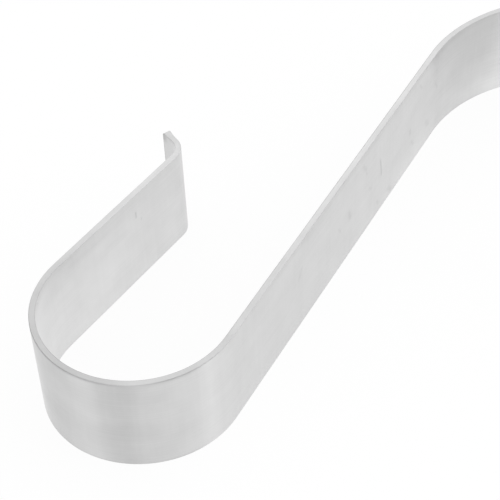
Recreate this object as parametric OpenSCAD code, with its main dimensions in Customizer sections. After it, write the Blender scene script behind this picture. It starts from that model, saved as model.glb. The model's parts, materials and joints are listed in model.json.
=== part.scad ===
// A flat S hook, bent from one steel strip that lies on its long edge.
// The strip's width runs up Z and its shank runs along Y. Seen from above, the upper hook
// opens to +X and the lower hook to -X. In use +Y points up and the S hangs upright.
// The origin is at the middle of the shank, on the edge that the hook lies on.

/* [Strip] */
// Width of the strip
strip_w = 20; // [12:0.5:30]
// Thickness of the strip
strip_t = 1.2; // [0.8:0.1:2]
// Rounding along the strip's long edges, from slitting and tumbling
edge_r = 0.25; // [0.1:0.05:0.35]
// How far each face of the strip draws in where it is bent
bend_neck = 0.01; // [0.005:0.005:0.03]

/* [Shank] */
// Length of the straight shank between the two bends
shank_l = 86; // [50:1:140]

/* [Lower hook] */
// Radius inside the lower bend, where the load hangs
lower_r = 17; // [12:0.5:25]
// Angle that the lower bend turns through
lower_turn = 186.5; // [180:0.5:190]
// Length of the lower hook's straight free leg
lower_leg_l = 34.5; // [20:0.5:40]

/* [Upper hook] */
// Radius inside the upper bend, which goes over a rail or a panel's top
upper_r = 31; // [24:0.5:40]
// Angle that the upper bend turns through
upper_turn = 186.5; // [180:0.5:190]
// Length of the upper hook's straight free leg
upper_leg_l = 34.5; // [20:0.5:40]

/* [Lips] */
// Radius inside the bend that turns each end outwards
lip_r = 3.4; // [1:0.1:6]
// Angle that each lip turns outwards from its leg
lip_turn = 70; // [40:1:90]
// Length of the straight part of each lip, up to the cut end
lip_l = 3.2; // [1.5:0.1:6]
// Rounding of the two corners of each cut end
tip_r = 0.5; // [0.2:0.1:1]

/* [Hidden] */
$fn = 96;
// How far each end of a bend runs on inside the straight strip next to it
bend_lap = 0.1;

// Each stretch of strip is [length, inside radius, turn to the left in degrees]
function straight(length) = [length, 0, 0];
function bend(radius, turn) = [0, radius, turn];

// Radius from a bend's centre to the middle of the strip
function middle(radius) = radius + strip_t / 2 - bend_neck;

// One hook from the middle of the shank to its lip, as a list of stretches
function hook_stretches(inside_r, turn, leg_l) = [
    straight(shank_l / 2),
    bend(inside_r, -turn),
    straight(leg_l),
    bend(lip_r, lip_turn)
];

// Cross-section of the strip, its thickness across X and its width up Y, drawn in by inset all round
module strip_section(inset = 0) {
    side = strip_t / 2 - inset;
    top = strip_w - inset;
    corner_r = edge_r - inset;
    corner_x = side - corner_r;
    translate([-corner_x, inset]) square([2 * corner_x, top - inset]);
    translate([-side, inset + corner_r]) square([2 * side, top - inset - 2 * corner_r]);
    for (x = [-corner_x, corner_x], y = [inset + corner_r, top - corner_r])
        translate([x, y]) circle(r = corner_r);
}

// A straight stretch that starts at the origin and runs along +Y
module straight_strip(length) {
    translate([0, length, 0])
        rotate([90, 0, 0])
            linear_extrude(height = length) strip_section();
}

// A bend that starts at the origin along +Y and turns to the left
module bent_strip(radius, turn) {
    mid_r = middle(radius);
    lap = bend_lap / mid_r * 180 / PI;
    translate([-mid_r, 0, 0])
        rotate_extrude(start = -lap, angle = turn + 2 * lap)
            translate([mid_r, 0]) strip_section(bend_neck);
}

// The solid of one stretch
module stretch(s) {
    if (s[2] == 0) straight_strip(s[0]);
    else if (s[2] > 0) bent_strip(s[1], s[2]);
    else mirror([1, 0, 0]) bent_strip(s[1], -s[2]);
}

// Moves its children to the far end of one stretch
module past(s) {
    centre_x = s[2] == 0 ? 0 : -sign(s[2]) * middle(s[1]);
    translate([centre_x, s[0], 0])
        rotate(s[2])
            translate([-centre_x, 0, 0]) children();
}

// The straight part of a lip, with the corners of its cut end rounded off
module lip_end() {
    intersection() {
        straight_strip(lip_l);
        rotate([90, 0, 90])
            translate([0, 0, -strip_t])
                linear_extrude(height = 2 * strip_t) {
                    translate([-lip_l, 0]) square([2 * lip_l - tip_r, strip_w]);
                    translate([-lip_l, tip_r]) square([2 * lip_l, strip_w - 2 * tip_r]);
                    for (y = [tip_r, strip_w - tip_r])
                        translate([lip_l - tip_r, y]) circle(r = tip_r);
                }
    }
}

// A run of strip: each stretch starts where the one before it ends, and a lip's end closes the run
module strip_run(stretches, i = 0) {
    if (i < len(stretches)) {
        stretch(stretches[i]);
        past(stretches[i]) strip_run(stretches, i + 1);
    } else {
        lip_end();
    }
}

module s_hook() {
    color([0.83, 0.83, 0.83]) {
        strip_run(hook_stretches(upper_r, upper_turn, upper_leg_l));
        rotate(180) strip_run(hook_stretches(lower_r, lower_turn, lower_leg_l));
    }
}

s_hook();
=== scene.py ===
"""A flat S hook bent from satin plated steel strip, lying on its long edge on a pale floor.

The strip is one numpy surface: its rounded section is carried along the bent centre line, with the
small dents and scratches of handling pressed into it. Lengths are in metres and angles in degrees
unless a name says otherwise.
"""
import json
import logging
from dataclasses import dataclass, field
from enum import Enum

import bpy
import numpy as np
from mathutils import Matrix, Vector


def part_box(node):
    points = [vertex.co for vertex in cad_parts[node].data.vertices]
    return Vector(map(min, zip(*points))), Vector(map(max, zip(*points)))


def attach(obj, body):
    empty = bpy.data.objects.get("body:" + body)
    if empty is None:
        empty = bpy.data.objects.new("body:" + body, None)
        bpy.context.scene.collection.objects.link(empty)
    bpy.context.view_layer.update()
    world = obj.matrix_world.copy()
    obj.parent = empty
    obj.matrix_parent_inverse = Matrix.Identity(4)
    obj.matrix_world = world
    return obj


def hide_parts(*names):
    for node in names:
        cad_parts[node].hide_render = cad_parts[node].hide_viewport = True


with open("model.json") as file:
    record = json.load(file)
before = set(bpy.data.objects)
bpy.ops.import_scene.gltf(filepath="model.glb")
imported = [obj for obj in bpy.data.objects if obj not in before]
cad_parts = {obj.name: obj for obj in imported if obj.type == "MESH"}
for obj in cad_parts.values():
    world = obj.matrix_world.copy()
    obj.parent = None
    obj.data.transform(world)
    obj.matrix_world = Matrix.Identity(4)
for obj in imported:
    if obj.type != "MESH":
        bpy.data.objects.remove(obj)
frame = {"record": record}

log = logging.getLogger("s_hook")

MM = 0.001
IMAGE_PX = 500
SENSOR_MM = 36.0
WHITE = (1.0, 1.0, 1.0, 1.0)

# A mix node's numbered sockets: its factor, and two values and a result for numbers and colours
MIX_FACTOR = 0
NUMBER_A, NUMBER_B, NUMBER_OUT = 2, 3, 0
COLOUR_A, COLOUR_B, COLOUR_OUT = 6, 7, 2


class Face(Enum):
    """The strip's two flat faces, named by the side of the shank that they are on."""

    OPEN_TO_UPPER = 1
    OPEN_TO_LOWER = -1


def linear(hex_colour: str) -> tuple[float, float, float, float]:
    """Turn an sRGB hex colour into linear RGBA.

    Args:
        hex_colour: six hex digits after a hash sign.

    Returns:
        The linear red, green and blue, and an alpha of 1.
    """
    srgb = np.array([int(hex_colour[i:i + 2], 16) for i in (1, 3, 5)]) / 255
    rgb = np.where(srgb <= 0.04045, srgb / 12.92, ((srgb + 0.055) / 1.055) ** 2.4)
    return (*rgb.tolist(), 1.0)


def add_node(tree: bpy.types.NodeTree, kind: str, inputs: dict | None = None,
             **settings: object) -> bpy.types.Node:
    """Add a node with its settings, input values and links.

    Args:
        tree: the node tree that gets the node.
        kind: the node's type name.
        inputs: input name or number to a value, or to the output socket that feeds it.
        **settings: the node's own properties.

    Returns:
        The new node.
    """
    node = tree.nodes.new(kind)
    for name, value in settings.items():
        setattr(node, name, value)
    for name, value in (inputs or {}).items():
        if isinstance(value, bpy.types.NodeSocket):
            tree.links.new(value, node.inputs[name])
        else:
            node.inputs[name].default_value = value
    return node


def weighted_sum(tree: bpy.types.NodeTree, start: float,
                 terms: tuple[tuple[bpy.types.NodeSocket, float], ...]) -> bpy.types.NodeSocket:
    """Add up values, each times its weight.

    Args:
        tree: the node tree that gets the nodes.
        start: the sum's fixed part.
        terms: each value's output socket and its weight.

    Returns:
        The output socket of the sum.
    """
    total = start
    for value, weight in terms:
        total = add_node(tree, "ShaderNodeMath", {0: value, 1: weight, 2: total},
                         operation="MULTIPLY_ADD").outputs["Value"]
    return total


@dataclass(frozen=True)
class Stretch:
    """A straight or an arc of the strip's centre line."""

    length: float
    turn: float = 0.0

    @staticmethod
    def bend(middle_radius: float, turn: float) -> "Stretch":
        """Return an arc of that radius, turning left for a positive turn."""
        return Stretch(middle_radius * abs(np.radians(turn)), turn)


@dataclass(frozen=True)
class CentreLine:
    """The strip's centre line in plan, from the lower hook's cut end to the upper hook's."""

    stretches: tuple[Stretch, ...]
    shank: int

    @property
    def knots(self) -> np.ndarray:
        """Distance along the strip at which each stretch starts, and the strip's whole length."""
        return np.concatenate([[0.0], np.cumsum([s.length for s in self.stretches])])

    def _run(self, s: np.ndarray) -> tuple[np.ndarray, np.ndarray]:
        """Follow the stretches from the first one's start, which lies at the origin along +X.

        Args:
            s: distances along the strip.

        Returns:
            The points as rows of X and Y, and the headings in radians.
        """
        lengths = np.array([p.length for p in self.stretches])
        turns = np.radians([p.turn for p in self.stretches])
        headings = np.concatenate([[0.0], np.cumsum(turns)])
        chords = self._chord(lengths, turns, headings[:-1])
        starts = np.vstack([[0.0, 0.0], np.cumsum(chords, axis=0)])
        k = np.clip(np.searchsorted(self.knots, s, side="right") - 1, 0, len(lengths) - 1)
        along = s - self.knots[k]
        part_turn = turns[k] * along / lengths[k]
        return starts[k] + self._chord(along, part_turn, headings[k]), headings[k] + part_turn

    @staticmethod
    def _chord(length: np.ndarray, turn: np.ndarray, heading: np.ndarray) -> np.ndarray:
        """Chord of each arc: its length times sin(turn/2)/(turn/2), at the arc's middle heading.

        Args:
            length: each arc's length along its curve.
            turn: the angle in radians that it turns through.
            heading: the heading in radians at its start.

        Returns:
            The chords as rows of X and Y.
        """
        chord = length * np.sinc(turn / (2 * np.pi))
        middle = heading + turn / 2
        return np.stack([chord * np.cos(middle), chord * np.sin(middle)], axis=-1)

    def at(self, s: np.ndarray) -> tuple[np.ndarray, np.ndarray]:
        """Give points and headings, with the shank's middle at the origin and the shank along +Y.

        Args:
            s: distances along the strip.

        Returns:
            The points as rows of X and Y, and the headings in radians.
        """
        knots = self.knots
        middle = np.array([(knots[self.shank] + knots[self.shank + 1]) / 2])
        origin, heading = self._run(middle)
        points, headings = self._run(s)
        turn = np.pi / 2 - heading[0]
        c, d = np.cos(turn), np.sin(turn)
        points = (points - origin) @ np.array([[c, d], [-d, c]])
        return points, headings + turn


@dataclass(frozen=True)
class Section:
    """The strip's rounded cross-section as a closed loop: thickness across, width up.

    The darker line along the edges, from slitting and painted shade, lies on the roundings. It has
    its full share on the upper ones, lower_share on the lower ones, and face_share of either at the
    face's first point.
    """

    thickness: float
    width: float
    edge_radius: float
    face_steps: int = 40
    corner_steps: int = 5
    lower_share: float = 0.5
    face_share: float = 0.6

    def loop(self) -> tuple[np.ndarray, np.ndarray, np.ndarray]:
        """Give the loop's points, from the middle of the lower edge up the +thickness side.

        One side is the lower edge, a quarter circle, the face, a quarter circle and the upper edge.
        The other side is its mirror image. Close to each quarter circle a point holds the flat.

        Returns:
            The offsets across the thickness, the heights, and each point's share of the darker
            edge line from slitting and painted shade.
        """
        r = self.edge_radius
        flat = self.thickness / 2 - r
        hold = r / 3
        quarter = np.linspace(0, np.pi / 2, self.corner_steps + 1)
        face = np.linspace(r + hold, self.width - r - hold, self.face_steps + 1)
        x = np.concatenate([
            [0.0, flat - hold], flat + r * np.sin(quarter), np.full(face.size, self.thickness / 2),
            flat + r * np.cos(quarter), [flat - hold, 0.0]])
        z = np.concatenate([
            [0.0, 0.0], r - r * np.cos(quarter), face,
            self.width - r + r * np.sin(quarter), [self.width, self.width]])
        near_face = np.zeros(face.size)
        near_face[[0, -1]] = self.lower_share * self.face_share, self.face_share
        near = np.concatenate([[0.0, 0.0], np.full(quarter.size, self.lower_share), near_face,
                               np.ones(quarter.size), [0.0, 0.0]])
        return (np.concatenate([x, -x[-2:0:-1]]), np.concatenate([z, z[-2:0:-1]]),
                np.concatenate([near, near[-2:0:-1]]))


@dataclass(frozen=True)
class Scratch:
    """A short nick pressed into one face: where it is, how it lies and how deep it goes."""

    s: float
    z: float
    length: float
    lean: float = 0.0
    width: float = 0.35 * MM
    depth: float = 0.005 * MM
    face: Face = Face.OPEN_TO_UPPER

    @property
    def reach(self) -> float:
        """How far along the strip, to each side of its middle, the scratch needs close rings."""
        return abs(np.tan(np.radians(self.lean))) * self.length / 2 + 1.5 * self.width


@dataclass(frozen=True)
class PaintedLightPatch:
    """A patch of painted shade on one face: where its middle is, how far it reaches and how dark it
    is.

    A negative strength makes it a painted highlight instead. The power sets its rim: 2 is a soft
    Gaussian, and more makes a flat patch with a crisper rim.
    """

    s: float
    z: float
    length: float
    height: float
    strength: float
    face: Face = Face.OPEN_TO_UPPER
    power: float = 2.0


@dataclass(frozen=True)
class SatinPlate:
    """Cold rolled steel strip under a thin satin zinc plate, as it comes from the bending press.

    Zinc over rolled steel keeps the strip's lengthwise grain, so its reflections are drawn out
    across the strip, and its colour is a light neutral grey. Handling leaves duller nicks, and
    tumbling leaves the long edges a little duller than the faces. Painted shade and painted
    highlights lie over the faces and along the edges.
    """

    strip_length: float
    section_length: float
    face_colour: str = "#EAEAEA"
    dull_and_shade_colour: str = "#8C8C8C"
    haze: float = 0.19
    roughness: float = 0.31
    anisotropy: float = 1.0
    cloud_tone: float = 0.025
    bar_tone: float = 0.015
    grain_tone: float = 0.026
    mark_tone: float = 0.6
    edge_tone: float = 0.3
    cloud_roughness: float = 0.02
    mark_roughness: float = 0.2
    line_roughness: float = 1.3
    wear_roughness: float = 0.5
    cloud_height: float = 0.6
    bar_height: float = 0.2
    grain_height: float = 0.6
    bump_strength: float = 0.25
    bump_depth: float = 0.02 * MM
    quarter_turn: float = 0.25
    noise_roughness: float = 0.55
    noise_low: float = 0.3
    noise_high: float = 0.7

    def _pattern(self, tree: bpy.types.NodeTree, cell_along: float, cell_across: float,
                 detail: float) -> tuple[bpy.types.NodeSocket, bpy.types.NodeSocket]:
        """Lay noise on the strip's own UV map, which is scaled here to millimetres.

        Args:
            tree: the material's node tree.
            cell_along: length of the noise's cells along the strip, in millimetres.
            cell_across: length of its cells across the strip, in millimetres.
            detail: how many finer layers it has.

        Returns:
            The noise from 0 to 1, and its range from noise_low to noise_high spread over -1 to 1.
        """
        uv = add_node(tree, "ShaderNodeUVMap", uv_map="strip")
        along_cells = self.strip_length / MM / cell_along
        across_cells = self.section_length / MM / cell_across
        scaled = add_node(tree, "ShaderNodeMapping", {
            "Vector": uv.outputs["UV"], "Scale": (along_cells, across_cells, 1.0)})
        noise = add_node(tree, "ShaderNodeTexNoise", {
            "Vector": scaled.outputs["Vector"], "Scale": 1.0, "Detail": detail,
            "Roughness": self.noise_roughness}).outputs["Fac"]
        spread = add_node(tree, "ShaderNodeMapRange", {
            "Value": noise, "From Min": self.noise_low, "From Max": self.noise_high,
            "To Min": -1.0, "To Max": 1.0})
        return noise, spread.outputs["Result"]

    def material(self) -> bpy.types.Material:
        """Build the material from three patterns and from what the mesh says of each point.

        Returns:
            The finished material.
        """
        material = bpy.data.materials.new("satin_plated_steel_strip")
        material.use_nodes = True
        tree = material.node_tree
        tree.nodes.clear()
        # Rolling grain: lines about 0.1 mm apart, drawn 0.3 mm apart so that the render shows them
        grain, even_grain = self._pattern(tree, 18.0, 0.3, 3.0)
        # Uneven plating: soft clouds a few millimetres across
        clouds, even_clouds = self._pattern(tree, 7.0, 5.0, 4.0)
        # Straightening rolls leave faint bars across the strip, about 1 mm apart
        bars, even_bars = self._pattern(tree, 1.1, 14.0, 2.0)
        mark, line, wear_and_shade, painted_light = (
            add_node(tree, "ShaderNodeAttribute", attribute_name=name,
                     attribute_type="GEOMETRY").outputs["Fac"]
            for name in ("mark", "line", "wear_and_shade", "painted_light"))
        # The plate's dullness from clouds, bars, grain, nicks and edges, plus painted shade and
        # painted highlights from the patches, edge lines and edge flats
        dull_and_shade = weighted_sum(tree, self.haze, (
            (even_clouds, self.cloud_tone), (even_bars, self.bar_tone),
            (even_grain, self.grain_tone), (painted_light, 1.0), (mark, self.mark_tone),
            (line, self.edge_tone), (wear_and_shade, self.edge_tone)))
        colour = add_node(tree, "ShaderNodeMix", {
            MIX_FACTOR: dull_and_shade, COLOUR_A: linear(self.face_colour),
            COLOUR_B: linear(self.dull_and_shade_colour)}, data_type="RGBA").outputs[COLOUR_OUT]
        rough = weighted_sum(tree, self.roughness, (
            (even_clouds, self.cloud_roughness), (mark, self.mark_roughness),
            (line, self.line_roughness), (wear_and_shade, self.wear_roughness)))
        height = weighted_sum(tree, 0.0, (
            (grain, self.grain_height), (bars, self.bar_height), (clouds, self.cloud_height)))
        bump = add_node(tree, "ShaderNodeBump", {
            "Strength": self.bump_strength, "Distance": self.bump_depth, "Height": height})
        # The tangent runs along the strip, and a quarter turn draws the gloss out across it
        tangent = add_node(tree, "ShaderNodeTangent", direction_type="UV_MAP", uv_map="strip")
        shader = add_node(tree, "ShaderNodeBsdfPrincipled", {
            "Base Color": colour, "Metallic": 1.0, "Roughness": rough,
            "Anisotropic": self.anisotropy, "Anisotropic Rotation": self.quarter_turn,
            "Tangent": tangent.outputs["Tangent"], "Normal": bump.outputs["Normal"]})
        add_node(tree, "ShaderNodeOutputMaterial", {"Surface": shader.outputs["BSDF"]})
        return material


@dataclass
class StripHook:
    """The S hook: one strip, bent four times, with a short lip turned out at each end."""

    record: dict
    leg: float = 34.5 * MM
    bend_turn: float = 186.5
    lip_radius: float = 3.4 * MM
    lip_turn: float = 70.0
    lip_straight: float = 3.2 * MM
    edge_radius: float = 0.12 * MM
    tip_radius: float = 0.5 * MM
    burr_radius: float = 0.1 * MM
    swell: float = 0.35 * MM
    swell_length: float = 1.6 * MM
    ring_spacing: float = 0.6 * MM
    tip_rings: int = 7
    burr_rings: int = 4
    neck: float = 0.01 * MM
    wave: float = 0.012 * MM
    wave_seed: int = 5
    full_mark: float = 0.01 * MM
    tip_dullness: float = 0.4
    tip_dull_reach: float = 0.25 * MM
    scratches: tuple[Scratch, ...] = field(default_factory=tuple)
    painted_light_patches: tuple[PaintedLightPatch, ...] = field(default_factory=tuple)
    edge_wear_and_shade: tuple[tuple[float, float], ...] = ((0.0, 0.1),)
    edge_lines_and_shade: dict[Face, tuple[tuple[float, float], ...]] = field(default_factory=dict)

    def __post_init__(self) -> None:
        """Take the strip's section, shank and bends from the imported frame."""
        low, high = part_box("s_hook")
        mounts = {m["name"]: m for m in self.record["mounts"]}
        self.width = high[2] - low[2]
        self.thickness = 2 * abs(mounts["shank_face"]["pos_m"][0])
        self.shank = 2 * mounts["upper_hook_seat"]["pos_m"][1]
        self.upper_radius = abs(mounts["upper_hook_seat"]["pos_m"][0])
        self.lower_radius = abs(mounts["lower_hook_seat"]["pos_m"][0])
        lip_middle = self.lip_radius + self.thickness / 2 - self.neck
        lip_out = (Stretch(self.leg), Stretch.bend(lip_middle, self.lip_turn),
                   Stretch(self.lip_straight))
        lip_in = (Stretch(self.lip_straight), Stretch.bend(lip_middle, -self.lip_turn),
                  Stretch(self.leg))
        self.line = CentreLine((
            *lip_in, Stretch.bend(self.lower_radius, self.bend_turn), Stretch(self.shank),
            Stretch.bend(self.upper_radius, -self.bend_turn), *lip_out), shank=4)
        self.section = Section(self.thickness, self.width, self.edge_radius)

    def _rings(self) -> np.ndarray:
        """Place the rings: even steps, finer at the tips and scratches, to the micrometre.

        Returns:
            Their distances along the strip, in order.
        """
        knots = self.line.knots
        runs = [np.linspace(a, b, max(2, int(np.ceil((b - a) / self.ring_spacing)) + 1))
                for a, b in zip(knots[:-1], knots[1:], strict=True)]
        tip = self.tip_radius * (1 - np.cos(np.linspace(0, np.pi / 2, self.tip_rings)))
        burr = self.burr_radius * (1 - np.cos(np.linspace(0, np.pi / 2, self.burr_rings)))
        near = [np.arange(m.s - m.reach, m.s + m.reach, m.width / 3) for m in self.scratches]
        every = np.concatenate([*runs, tip, burr, knots[-1] - tip, knots[-1] - burr, *near])
        return np.unique(np.round(every / MM, 3)) * MM

    def _inset(self, s: np.ndarray, radius: float) -> np.ndarray:
        """How far a quarter circle of that radius draws each ring in, by its distance from an end."""
        from_end = np.minimum(np.minimum(s, self.line.knots[-1] - s), radius)
        return radius - np.sqrt(radius ** 2 - (radius - from_end) ** 2)

    def _squash(self, s: np.ndarray, x: np.ndarray) -> np.ndarray:
        """How far shearing has pushed out the outer side of each lip.

        The push is a Gaussian of the distance from the cut end, times how far the point lies
        towards the outer side.

        Args:
            s: distances along the strip.
            x: offsets across its thickness.

        Returns:
            The offset that each point gains.
        """
        side = np.where(s < self.line.knots[-1] / 2, -1.0, 1.0)
        from_end = np.minimum(s, self.line.knots[-1] - s)
        swell = self.swell * np.exp(-(from_end / self.swell_length) ** 2)
        return side * swell * np.clip(side * x / (self.thickness / 2), 0, 1)

    def _waves(self, s: np.ndarray, z: np.ndarray) -> np.ndarray:
        """Shallow waves left by the straightening rolls.

        They are a sum of sines along the strip, each leaning a little and times a cosine up it.

        Args:
            s: distances along the strip.
            z: heights.

        Returns:
            The sum of the waves, whose longest has a height of 1.
        """
        rng = np.random.default_rng(self.wave_seed)
        total = np.zeros(np.broadcast(s, z).shape)
        for length_mm, share in WAVES:
            phase = rng.uniform(0, 2 * np.pi, 2)
            lean = rng.uniform(-0.5, 0.5)
            along = 2 * np.pi * (s + lean * z) / (length_mm * MM) + phase[0]
            total = total + share * np.sin(along) * np.cos(np.pi * z / self.width + phase[1])
        return total

    def _press(self, s: np.ndarray, x: np.ndarray, z: np.ndarray) -> np.ndarray:
        """How deep each point is pressed in by the scratches.

        A scratch is a Gaussian groove across its line, times 1.3 - t^4 held between 0 and 1, where
        t goes from 0 at its middle to 1 at either end.

        Args:
            s: distances along the strip.
            x: offsets across its thickness, whose sign tells the face.
            z: heights.

        Returns:
            The depth at each point.
        """
        inside = np.zeros(np.broadcast(s, z).shape)
        for mark in self.scratches:
            up = z - mark.z
            across = s - mark.s - np.tan(np.radians(mark.lean)) * up
            groove = np.exp(-(across / (mark.width / 2)) ** 2)
            ends = np.clip(1.3 - (np.abs(up) / (mark.length / 2)) ** 4, 0, 1)
            on_face = np.where(np.sign(x) == mark.face.value, 1.0, 0.0)
            inside = np.maximum(inside, groove * ends * on_face * mark.depth)
        return inside

    def _shear_line_and_shade(self, s: np.ndarray, x: np.ndarray) -> np.ndarray:
        """How dark the line along each face's upper and lower edge is, from slitting and painted
        shade.

        Args:
            s: distances along the strip.
            x: offsets across its thickness, whose sign tells the face.

        Returns:
            The darkness, drawn straight from each of the face's places to the next.
        """
        total = np.zeros(np.broadcast(s, x).shape)
        for face, run in self.edge_lines_and_shade.items():
            places, values = np.array(run).T
            on_face = np.where(np.sign(x) == face.value, 1.0, 0.0)
            total = total + np.interp(s / MM, places, values) * on_face
        return total

    def _edge_dullness_and_shade(self, s: np.ndarray, x: np.ndarray) -> np.ndarray:
        """How much duller the edges' flats are, from tumbling and from painted shade, and the last
        part of a millimetre at the cut ends.

        Args:
            s: distances along the strip.
            x: offsets across its thickness.

        Returns:
            The dullness with painted shade on the flats, straight from place to place, and a Gaussian
            of dullness at the ends.
        """
        places, values = np.array(self.edge_wear_and_shade).T
        on_flat = np.abs(x) < self.thickness / 2 - self.edge_radius
        slit = np.where(on_flat, np.interp(s / MM, places, values), 0.0)
        from_end = np.minimum(s, self.line.knots[-1] - s)
        tip = self.tip_dullness * np.exp(-(from_end / self.tip_dull_reach) ** 2)
        return np.maximum(slit, tip)

    def _painted_light(self, s: np.ndarray, x: np.ndarray, z: np.ndarray) -> np.ndarray:
        """Painted shade and painted highlights on the faces: the sum of the patches.

        A patch is exp(-|along|^n - |up|^n), where n is its power, and fades over the rounding.

        Args:
            s: distances along the strip.
            x: offsets across its thickness, whose sign tells the face.
            z: heights.

        Returns:
            The painted shade at each point, below zero where it is a painted highlight.
        """
        total = np.zeros(np.broadcast(s, z).shape)
        for painted_light in self.painted_light_patches:
            along = np.abs(s - painted_light.s) / (painted_light.length / 2)
            up = np.abs(z - painted_light.z) / (painted_light.height / 2)
            from_flat = x * painted_light.face.value - self.thickness / 2 + self.edge_radius
            on_face = np.clip(from_flat / self.edge_radius, 0, 1)
            fade = np.exp(-along ** painted_light.power - up ** painted_light.power)
            total = total + painted_light.strength * fade * on_face
        return total

    def surface(self) -> tuple[np.ndarray, np.ndarray, dict[str, np.ndarray]]:
        """Carry the section along the centre line.

        A ring's point is the centre line's point, plus its offset along the strip's right-hand
        normal, at its own height. Near each end the ring is drawn in, which rounds the tip.

        Returns:
            The points by ring and loop, the ring distances, and the values of each attribute.
        """
        s = self._rings()
        x, z, corner = self.section.loop()
        tip, burr = self._inset(s, self.tip_radius), self._inset(s, self.burr_radius)
        grow_z = 1 - 2 * (tip + burr) / self.width
        grow_x = 1 - 2 * burr / self.thickness
        height = self.width / 2 + (z[None, :] - self.width / 2) * grow_z[:, None]
        offset = x[None, :] * grow_x[:, None] + self._squash(s[:, None], x[None, :])
        flat = np.clip((self.thickness / 2 - np.abs(x)) / self.edge_radius, 0, 1)
        press = self._press(s[:, None], x[None, :], z[None, :])
        sag = (1 + self._waves(s[:, None], z[None, :]) / 2).clip(0) * self.wave * (1 - flat)
        offset = offset - np.sign(offset) * (self.neck + sag + press)
        points, headings = self.line.at(s)
        normal = np.stack([np.sin(headings), -np.cos(headings)], axis=1)
        plan = points[:, None, :] + offset[..., None] * normal[:, None, :]
        across, up = x[None, :], z[None, :]
        # The patches carry painted shade and painted highlights, and the edge lines and edge flats
        # carry painted shade as well as their dullness
        values = {"mark": press / self.full_mark,
                  "line": self._shear_line_and_shade(s[:, None], across) * corner,
                  "wear_and_shade": self._edge_dullness_and_shade(s[:, None], across),
                  "painted_light": self._painted_light(s[:, None], across, up)}
        return np.concatenate([plan, height[..., None]], axis=2), s, values

    def build(self) -> bpy.types.Object:
        """Put the strip's surface into a mesh, closed by a ladder of faces at each cut end.

        Returns:
            The hook's object, at the origin and untransformed.
        """
        grid, s, attributes = self.surface()
        rings, loop = grid.shape[:2]
        ring, step = np.meshgrid(np.arange(rings - 1), np.arange(loop), indexing="ij")
        after = (step + 1) % loop
        sides = np.stack([ring * loop + step, ring * loop + after,
                          (ring + 1) * loop + after, (ring + 1) * loop + step], axis=-1)
        sides = sides.reshape(-1, 4)
        half = loop // 2
        rung = np.arange(1, half - 1)
        ladder = np.stack([rung, loop - rung, loop - rung - 1, rung + 1], axis=1)
        far = (rings - 1) * loop
        ends = [tuple(f) for f in ladder] + [tuple(f[::-1] + far) for f in ladder]
        ends += [(1, 0, loop - 1), (half - 1, half + 1, half)]
        ends += [(far + loop - 1, far, far + 1), (far + half, far + half + 1, far + half - 1)]
        faces = sides.tolist() + [list(map(int, f)) for f in ends]
        mesh = bpy.data.meshes.new("bent_strip")
        mesh.from_pydata(grid.reshape(-1, 3).tolist(), [], faces)
        self._add_uv(mesh, grid, s, ring, step, len(sides))
        for name, values in attributes.items():
            layer = mesh.attributes.new(name, "FLOAT", "POINT")
            layer.data.foreach_set("value", np.ascontiguousarray(values, dtype=np.float32).ravel())
        mesh.polygons.foreach_set("use_smooth", np.ones(len(mesh.polygons), dtype=bool))
        mesh.update()
        mesh.validate()
        piece = bpy.data.objects.new("bent_strip", mesh)
        bpy.context.scene.collection.objects.link(piece)
        finish = SatinPlate(self.line.knots[-1], self._girth(grid[rings // 2]))
        mesh.materials.append(finish.material())
        return piece

    @staticmethod
    def _girth(ring: np.ndarray) -> float:
        """Length once round a ring's section."""
        return float(np.linalg.norm(ring - np.roll(ring, -1, axis=0), axis=1).sum())

    def _add_uv(self, mesh: bpy.types.Mesh, grid: np.ndarray, s: np.ndarray,
                ring: np.ndarray, step: np.ndarray, side_faces: int) -> None:
        """Lay the strip out flat: U runs from 0 to 1 along it and V from 0 to 1 round its section.

        Args:
            mesh: the mesh that gets the map.
            grid: the points by ring and loop.
            s: the rings' distances along the strip.
            ring: each side face's first ring.
            step: each side face's first loop point.
            side_faces: how many faces the sides have, before those of the cut ends.
        """
        middle = grid[len(grid) // 2]
        lengths = np.linalg.norm(middle - np.roll(middle, -1, axis=0), axis=1)
        round_it = np.concatenate([[0.0], np.cumsum(lengths)]) / lengths.sum()
        along = s / s[-1]
        u = np.stack([along[ring], along[ring], along[ring + 1], along[ring + 1]], axis=-1)
        v = np.stack([round_it[step], round_it[step + 1], round_it[step + 1], round_it[step]],
                     axis=-1)
        uv = np.zeros((len(mesh.loops), 2), dtype=np.float32)
        uv[:side_faces * 4, 0] = u.ravel()
        uv[:side_faces * 4, 1] = v.ravel()
        corners = np.zeros(len(mesh.loops), dtype=np.int32)
        mesh.loops.foreach_get("vertex_index", corners)
        ends = corners[side_faces * 4:]
        uv[side_faces * 4:, 0] = along[ends // grid.shape[1]]
        uv[side_faces * 4:, 1] = round_it[ends % grid.shape[1]]
        mesh.uv_layers.new(name="strip").data.foreach_set("uv", uv.ravel())


@dataclass(frozen=True)
class Panel:
    """A soft panel or a dark opening in the tent's wall, which scales the light from there.

    It fades out towards the tent's top, from fade_from to fade_to, both sines of the elevation.
    """

    azimuth: float
    half_width: float
    gain: float
    blur: float = 10.0
    fade_from: float = 0.9
    fade_to: float = 1.1


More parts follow.
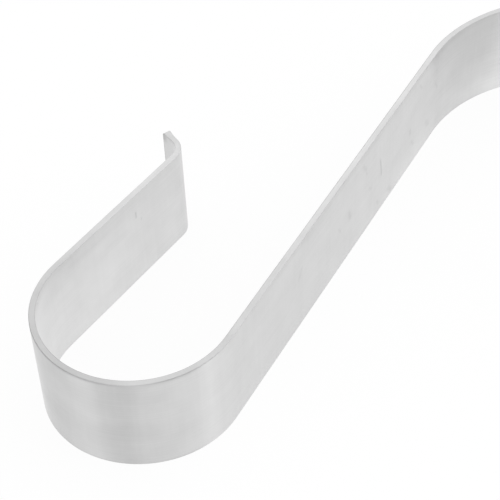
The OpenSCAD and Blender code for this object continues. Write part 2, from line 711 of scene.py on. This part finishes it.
@dataclass(frozen=True)
class Softbox:
    """A square soft lamp that stands beside the hook and faces it."""

    azimuth: float
    elevation: float
    distance: float
    size: float
    watts: float

    def build(self) -> bpy.types.Object:
        """Place the lamp at its azimuth and elevation from the origin, facing it.

        Returns:
            The lamp's object.
        """
        a, e = np.radians([self.azimuth, self.elevation])
        away = np.array([np.cos(a) * np.cos(e), np.sin(a) * np.cos(e), np.sin(e)])
        right = np.array([-np.sin(a), np.cos(a), 0.0])
        data = bpy.data.lights.new("softbox", "AREA")
        data.shape = "SQUARE"
        data.size = self.size
        data.energy = self.watts
        lamp = bpy.data.objects.new("softbox", data)
        placed = Matrix(np.column_stack([right, np.cross(away, right), away]).tolist()).to_4x4()
        placed.translation = (away * self.distance).tolist()
        lamp.matrix_world = placed
        bpy.context.scene.collection.objects.link(lamp)
        return lamp


@dataclass(frozen=True)
class Studio:
    """A white table in a soft light tent: pale floor, white backdrop, panels and a softbox.

    The tent's light is that of the horizon at height 0, of the sky from sky_height up, and of the
    zenith above zenith_height. Heights are sines of the elevation.
    """

    floor_size: float = 6.0
    floor_colour: str = "#FAFAFA"
    floor_glow: float = 0.93
    floor_glow_in_metal: float = 1.0
    horizon: float = 1.0
    sky: float = 1.15
    zenith: float = 1.12
    sky_height: float = 0.2
    zenith_from: float = 0.3
    zenith_height: float = 0.8
    softboxes: tuple[Softbox, ...] = (
        Softbox(azimuth=-4.0, elevation=22.0, distance=0.34, size=0.10, watts=0.06),
    )
    panels: tuple[Panel, ...] = (
        Panel(38.0, 25.0, 0.20, 15.0),
        Panel(-175.0, 20.0, -0.22, 12.0),
        Panel(-90.0, 50.0, -0.16, 30.0),
        Panel(-93.0, 18.0, -0.12, 4.0),
    )

    def build_floor(self) -> bpy.types.Object:
        """Lay the floor, which the camera and reflections see as white with the hook's shadow.

        Returns:
            The floor's object.
        """
        h = self.floor_size / 2
        mesh = bpy.data.meshes.new("table_top")
        mesh.from_pydata([(-h, -h, 0), (h, -h, 0), (h, h, 0), (-h, h, 0)], [], [(0, 1, 2, 3)])
        floor = bpy.data.objects.new("table_top", mesh)
        bpy.context.scene.collection.objects.link(floor)
        material = bpy.data.materials.new("matt_white_card")
        material.use_nodes = True
        tree = material.node_tree
        tree.nodes.clear()
        rays = add_node(tree, "ShaderNodeLightPath").outputs
        card = add_node(tree, "ShaderNodeBsdfDiffuse", {"Color": linear(self.floor_colour)})
        white = add_node(tree, "ShaderNodeEmission", {"Color": WHITE, "Strength": 1.0})
        seen = add_node(tree, "ShaderNodeMath", {
            0: rays["Is Camera Ray"], 1: self.floor_glow},
            operation="MULTIPLY").outputs["Value"]
        clear = add_node(tree, "ShaderNodeMath", {
            0: rays["Is Glossy Ray"], 1: rays["Is Transmission Ray"]},
            operation="MAXIMUM").outputs["Value"]
        share = add_node(tree, "ShaderNodeMath", {
            0: clear, 1: self.floor_glow_in_metal, 2: seen},
            operation="MULTIPLY_ADD").outputs["Value"]
        mixed = add_node(tree, "ShaderNodeMixShader", {
            0: share, 1: card.outputs["BSDF"], 2: white.outputs["Emission"]})
        add_node(tree, "ShaderNodeOutputMaterial", {"Surface": mixed.outputs["Shader"]})
        mesh.materials.append(material)
        return floor

    def build_sky(self) -> None:
        """Make the tent: white to the camera, and softly uneven to reflections and to the floor."""
        world = bpy.data.worlds.new("light_tent")
        world.use_nodes = True
        tree = world.node_tree
        tree.nodes.clear()
        rays = add_node(tree, "ShaderNodeLightPath").outputs
        way = add_node(tree, "ShaderNodeTexCoord").outputs["Generated"]
        height = add_node(tree, "ShaderNodeSeparateXYZ", {"Vector": way}).outputs["Z"]
        low = add_node(tree, "ShaderNodeMapRange", {
            "Value": height, "From Min": 0.0, "From Max": self.sky_height,
            "To Min": self.horizon, "To Max": self.sky},
            interpolation_type="SMOOTHSTEP").outputs["Result"]
        level = add_node(tree, "ShaderNodeMapRange", {
            "Value": height, "From Min": self.zenith_from, "From Max": self.zenith_height,
            "To Min": low, "To Max": self.zenith},
            interpolation_type="SMOOTHSTEP").outputs["Result"]
        flat_way = add_node(tree, "ShaderNodeVectorMath", {0: way, 1: (1.0, 1.0, 0.0)},
                            operation="MULTIPLY").outputs["Vector"]
        compass = add_node(tree, "ShaderNodeVectorMath", {0: flat_way},
                           operation="NORMALIZE").outputs["Vector"]
        for panel in self.panels:
            a = np.radians(panel.azimuth)
            facing = add_node(tree, "ShaderNodeVectorMath", {
                0: compass, 1: (float(np.cos(a)), float(np.sin(a)), 0.0)},
                operation="DOT_PRODUCT").outputs["Value"]
            gain = add_node(tree, "ShaderNodeMapRange", {
                "Value": height, "From Min": panel.fade_from, "From Max": panel.fade_to,
                "To Min": 1.0 + panel.gain, "To Max": 1.0},
                interpolation_type="SMOOTHSTEP").outputs["Result"]
            glow = add_node(tree, "ShaderNodeMapRange", {
                "Value": facing,
                "From Min": float(np.cos(np.radians(panel.half_width + panel.blur))),
                "From Max": float(np.cos(np.radians(panel.half_width))),
                "To Min": 1.0, "To Max": gain},
                interpolation_type="SMOOTHSTEP").outputs["Result"]
            level = add_node(tree, "ShaderNodeMath", {0: level, 1: glow},
                             operation="MULTIPLY").outputs["Value"]
        seen = add_node(tree, "ShaderNodeMath", {
            0: rays["Is Camera Ray"], 1: rays["Is Transmission Ray"]},
            operation="MAXIMUM").outputs["Value"]
        strength = add_node(tree, "ShaderNodeMix", {
            MIX_FACTOR: seen, NUMBER_A: level, NUMBER_B: 1.0}).outputs[NUMBER_OUT]
        sky = add_node(tree, "ShaderNodeBackground", {"Color": WHITE, "Strength": strength})
        add_node(tree, "ShaderNodeOutputWorld", {"Surface": sky.outputs["Background"]})
        bpy.context.scene.world = world

    def build(self) -> None:
        """Build the floor, the sky and the lamps, and show colours as they are written."""
        self.build_floor()
        self.build_sky()
        for softbox in self.softboxes:
            softbox.build()
        bpy.context.scene.view_settings.view_transform = "Standard"


@dataclass(frozen=True)
class PhotoCamera:
    """The camera of the photograph, found by fitting a pinhole to the hook's outline."""

    place: tuple[float, float, float] = (91.33 * MM, -192.43 * MM, 206.86 * MM)
    heading: float = -30.003
    down: float = 43.685
    roll: float = -3.022
    focal_px: float = 1557.97
    clip_start: float = 0.01

    def build(self) -> bpy.types.Object:
        """Place the camera: heading turns it clockwise from +Y, down tilts it, roll turns it last.

        Returns:
            The camera's object.
        """
        a, e, r = np.radians([self.heading, self.down, self.roll])
        ahead = np.array([np.sin(a) * np.cos(e), np.cos(a) * np.cos(e), -np.sin(e)])
        right = np.array([np.cos(a), -np.sin(a), 0.0])
        up = np.cross(right, ahead)
        turned_right = np.cos(r) * right + np.sin(r) * up
        turned_up = -np.sin(r) * right + np.cos(r) * up
        axes = np.column_stack([turned_right, turned_up, -ahead])
        data = bpy.data.cameras.new("photo_camera")
        data.sensor_width = SENSOR_MM
        data.lens = self.focal_px * SENSOR_MM / IMAGE_PX
        data.clip_start = self.clip_start
        camera = bpy.data.objects.new("photo_camera", data)
        placed = Matrix(axes.tolist()).to_4x4()
        placed.translation = self.place
        camera.matrix_world = placed
        bpy.context.scene.collection.objects.link(camera)
        bpy.context.scene.camera = camera
        return camera


# Waves left by the straightening rolls: each one's length in millimetres, and its share
WAVES = ((46.0, 1.0), (23.0, 0.6), (11.0, 0.3), (6.0, 0.12))


# Nicks that the photograph shows, by distance along the strip from the lower hook's cut end
SCRATCHES = (
    Scratch(159.5 * MM, 10.7 * MM, 4.5 * MM, lean=-8, width=0.45 * MM, depth=0.0045 * MM),
    Scratch(145.4 * MM, 9.8 * MM, 2.6 * MM, lean=-14, width=1.10 * MM, depth=0.002 * MM),
    Scratch(141.1 * MM, 9.5 * MM, 1.3 * MM, lean=-35, width=0.50 * MM, depth=0.002 * MM),
    Scratch(152.1 * MM, 16.1 * MM, 2.6 * MM, lean=-35, width=1.00 * MM, depth=0.002 * MM),
    Scratch(152.9 * MM, 14.2 * MM, 1.2 * MM, lean=-30, width=0.50 * MM, depth=0.002 * MM),
    Scratch(154.8 * MM, 8.9 * MM, 1.5 * MM, lean=-40, width=0.80 * MM, depth=0.0015 * MM),
    Scratch(173.4 * MM, 9.0 * MM, 1.6 * MM, lean=-10, width=1.00 * MM, depth=0.002 * MM),
    Scratch(174.8 * MM, 5.3 * MM, 2.0 * MM, lean=-35, width=0.70 * MM, depth=0.002 * MM),
    Scratch(178.3 * MM, 16.9 * MM, 1.3 * MM, lean=-38, width=0.50 * MM, depth=0.002 * MM),
    Scratch(186.4 * MM, 11.6 * MM, 1.9 * MM, lean=-35, width=0.50 * MM, depth=0.002 * MM),
    Scratch(182.2 * MM, 4.9 * MM, 2.5 * MM, lean=-30, width=1.40 * MM, depth=0.0015 * MM),
    Scratch(163.8 * MM, 1.8 * MM, 2.2 * MM, lean=-40, width=1.40 * MM, depth=0.002 * MM),
    Scratch(158.1 * MM, 2.8 * MM, 1.5 * MM, lean=-35, width=0.60 * MM, depth=0.002 * MM),
    Scratch(125.0 * MM, 12.6 * MM, 2.2 * MM, lean=25, width=1.20 * MM, depth=0.0015 * MM),
    Scratch(21.1 * MM, 15.4 * MM, 1.5 * MM, depth=0.004 * MM, face=Face.OPEN_TO_LOWER),
    Scratch(19.7 * MM, 13.6 * MM, 0.5 * MM, depth=0.003 * MM, face=Face.OPEN_TO_LOWER),
)


# Painted shade and painted highlights on the faces: patches, painted reflection bands and dark
# streaks under the edges, by distance along the strip and height
PAINTED_LIGHT_PATCHES = (
    # Painted shade at the lower lip's tip and along its bend
    PaintedLightPatch(0.6 * MM, 19.2 * MM, 1.4 * MM, 1.8 * MM, 0.32),
    PaintedLightPatch(6.6 * MM, 17.7 * MM, 2.4 * MM, 3.2 * MM, 0.32),
    PaintedLightPatch(5.3 * MM, 9.0 * MM, 2.2 * MM, 60.0 * MM, 0.25, Face.OPEN_TO_LOWER),
    # Painted highlights over the lower leg, and painted shade along its top edge into the lower bend
    PaintedLightPatch(9.0 * MM, 10.0 * MM, 20.0 * MM, 40.0 * MM, -0.04, Face.OPEN_TO_LOWER),
    PaintedLightPatch(37.0 * MM, 5.0 * MM, 44.0 * MM, 44.0 * MM, -0.17, Face.OPEN_TO_LOWER),
    PaintedLightPatch(35.0 * MM, 17.6 * MM, 15.0 * MM, 2.4 * MM, 0.12, Face.OPEN_TO_LOWER),
    PaintedLightPatch(45.0 * MM, 15.6 * MM, 6.0 * MM, 6.0 * MM, 0.08, Face.OPEN_TO_LOWER),
    PaintedLightPatch(46.0 * MM, 19.6 * MM, 36.0 * MM, 2.2 * MM, 0.13, Face.OPEN_TO_LOWER),
    # Painted reflection bands running up the lower bend, darker and lighter in turn
    PaintedLightPatch(65.5 * MM, 10.0 * MM, 13.0 * MM, 80.0 * MM, 0.10),
    PaintedLightPatch(72.5 * MM, 10.0 * MM, 5.0 * MM, 80.0 * MM, -0.05),
    PaintedLightPatch(77.8 * MM, 10.0 * MM, 6.6 * MM, 80.0 * MM, 0.10, power=4),
    PaintedLightPatch(81.0 * MM, 10.0 * MM, 9.0 * MM, 80.0 * MM, 0.08),
    # Painted shade in dark streaks just under the top edge
    PaintedLightPatch(128.5 * MM, 18.7 * MM, 10.0 * MM, 1.8 * MM, 0.05),
    PaintedLightPatch(148.0 * MM, 19.4 * MM, 76.0 * MM, 1.6 * MM, 0.06, power=4),
    # Over the upper bend, painted highlights and painted shade: mostly lighter low down and darker
    # high up, with a dark streak under the top edge
    PaintedLightPatch(176.0 * MM, 0.0 * MM, 30.0 * MM, 10.0 * MM, -0.12),
    PaintedLightPatch(182.0 * MM, 20.0 * MM, 12.0 * MM, 8.0 * MM, -0.06),
    PaintedLightPatch(203.0 * MM, 20.0 * MM, 18.0 * MM, 22.0 * MM, 0.16),
    PaintedLightPatch(195.0 * MM, 11.0 * MM, 12.0 * MM, 14.0 * MM, 0.06),
    PaintedLightPatch(206.0 * MM, 1.0 * MM, 14.0 * MM, 10.0 * MM, -0.16),
    PaintedLightPatch(192.5 * MM, 19.4 * MM, 12.0 * MM, 1.4 * MM, 0.10),
)


# How much duller the edge's flat is, from tumbling and from painted shade, by millimetres along the
# strip from the lower hook's cut end
EDGE_WEAR_AND_SHADE = (
    (0.0, 0.08), (20.0, 0.07), (32.0, 0.14), (44.0, 0.25), (56.0, 0.21), (68.0, 0.18),
    (75.0, 0.20), (81.0, 0.02), (92.0, 0.28), (104.0, 0.16), (116.0, 0.15), (128.0, 0.12),
    (140.0, 0.04), (164.0, 0.09), (176.0, 0.04), (188.0, 0.12), (200.0, 0.22), (220.0, 0.22),
)


# How dark the line along each face's edges is, from slitting and painted shade, by millimetres from
# the lower hook's cut end
EDGE_LINES_AND_SHADE = {
    Face.OPEN_TO_UPPER: ((0.0, 0.1), (48.0, 0.1), (55.0, 0.35), (64.0, 0.2), (74.0, 0.18),
                         (80.0, 0.0), (84.0, 0.1), (90.0, 0.3), (100.0, 0.1), (220.0, 0.1)),
    Face.OPEN_TO_LOWER: ((0.0, 0.08), (24.0, 0.06), (34.0, 0.1), (60.0, 0.15), (70.0, 0.6),
                         (98.0, 0.6), (110.0, 0.25), (146.0, 0.25), (158.0, 0.5),
                         (186.0, 0.5), (200.0, 0.3), (220.0, 0.3)),
}


def main() -> None:
    """Build the studio, the camera and the hook, and report each piece."""
    logging.basicConfig(level=logging.INFO, format="%(message)s")
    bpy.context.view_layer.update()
    Studio().build()
    camera = PhotoCamera().build()
    log.info("camera %s, lens %.1f mm", camera.name, camera.data.lens)
    hook = StripHook(frame["record"], scratches=SCRATCHES, painted_light_patches=PAINTED_LIGHT_PATCHES,
                     edge_wear_and_shade=EDGE_WEAR_AND_SHADE, edge_lines_and_shade=EDGE_LINES_AND_SHADE)
    piece = hook.build()
    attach(piece, "root")
    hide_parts("s_hook")
    log.info("%s: %.1f mm of strip, %d faces", piece.name, hook.line.knots[-1] / MM,
             len(piece.data.polygons))


if __name__ == "__main__":
    main()
